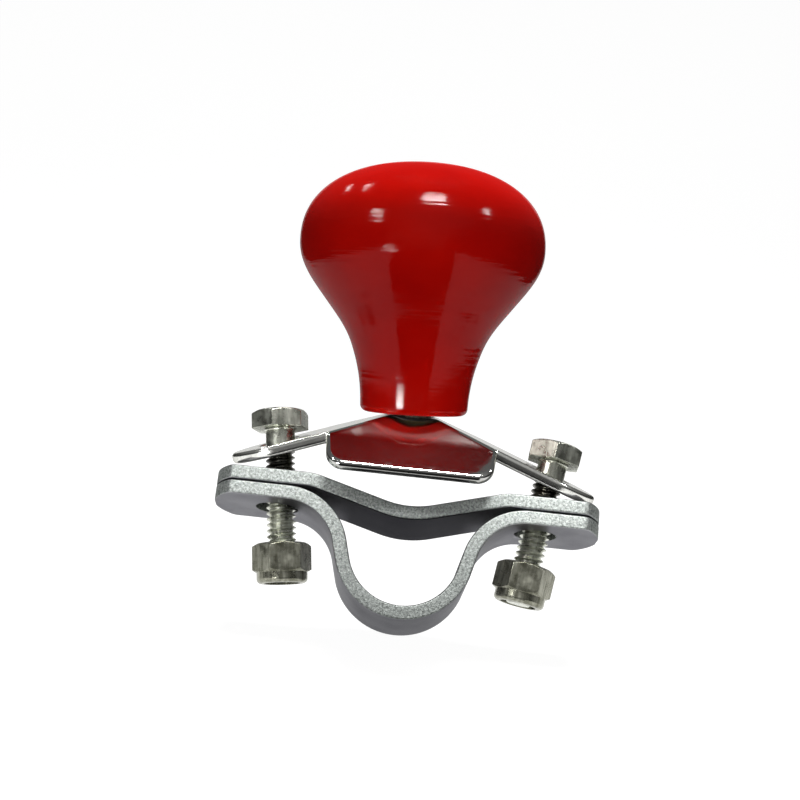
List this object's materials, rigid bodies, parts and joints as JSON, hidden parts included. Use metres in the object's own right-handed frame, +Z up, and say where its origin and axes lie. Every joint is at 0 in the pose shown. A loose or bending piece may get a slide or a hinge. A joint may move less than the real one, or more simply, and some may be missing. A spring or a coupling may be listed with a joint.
{
  "type": "steering wheel spinner knob",
  "caption": "Turned knob on a sheet bridge over a bolted two-part strap clamp for a steering wheel rim.",
  "frame": {"origin": "centre of the wheel rim's seat, on the axis of the lower strap's U and halfway across the straps", "axes": "+Z up along the upright bridge towards the knob, +X along the straps to the right-hand bolt, +Y away from the pictured front"},
  "size_m": [0.0826, 0.053, 0.102],
  "materials": {
    "strap_zinc": "blasted and zinc plated steel",
    "bridge_chrome": "bright chrome plated steel sheet",
    "bolt_zinc": "yellowish zinc plated steel",
    "nut_zinc": "olive zinc plated steel",
    "nylon": "natural nylon",
    "knob_red": "polished red plastic",
    "insert_brass": "machined brass"
  },
  "bodies": {
    "clamp": {"lower_strap": "strap_zinc", "upper_strap": "strap_zinc", "bridge": "bridge_chrome"},
    "knob": {"knob": "knob_red", "knob_insert": "insert_brass", "thrust_washer": "nylon", "pivot_washer": "bolt_zinc", "pivot_bolt": "bolt_zinc"},
    "bolt_left": {"clamp_bolt_left": "bolt_zinc"},
    "bolt_right": {"clamp_bolt_right": "bolt_zinc"},
    "nut_left": {"lock_nut_left": "nut_zinc", "nylon_ring_left": "nylon"},
    "nut_right": {"lock_nut_right": "nut_zinc", "nylon_ring_right": "nylon"}
  },
  "joints": [
    {"name": "knob_spin", "type": "hinge", "parent": "clamp", "child": "knob", "pos_m": [-0.00086, 0.0069, 0.03061], "axis": [-0.0523, 0, 0.9986], "continuous": true},
    {"name": "bolt_left_turn", "type": "hinge", "parent": "clamp", "child": "bolt_left", "pos_m": [-0.02937, 0.00783, 0.02443], "axis": [0.1306, -0.2461, -0.9604], "range_deg": [-360, 1080]},
    {"name": "bolt_right_turn", "type": "hinge", "parent": "clamp", "child": "bolt_right", "pos_m": [0.0307, 0.00792, 0.02334], "axis": [-0.1642, -0.2704, -0.9486], "range_deg": [-360, 1080]},
    {"name": "nut_left_climb", "type": "slide", "parent": "clamp", "child": "nut_left", "axis": [-0.1306, 0.2461, 0.9604], "range_m": [-0.0013, 0.0039]},
    {"name": "nut_right_climb", "type": "slide", "parent": "clamp", "child": "nut_right", "axis": [0.1642, 0.2704, 0.9486], "range_m": [-0.0013, 0.0039]}
  ],
  "couplings": [
    {"joint": "nut_left_climb", "follows": "bolt_left_turn", "m_per_rad": 0.00020213},
    {"joint": "nut_right_climb", "follows": "bolt_right_turn", "m_per_rad": 0.00020213}
  ]
}
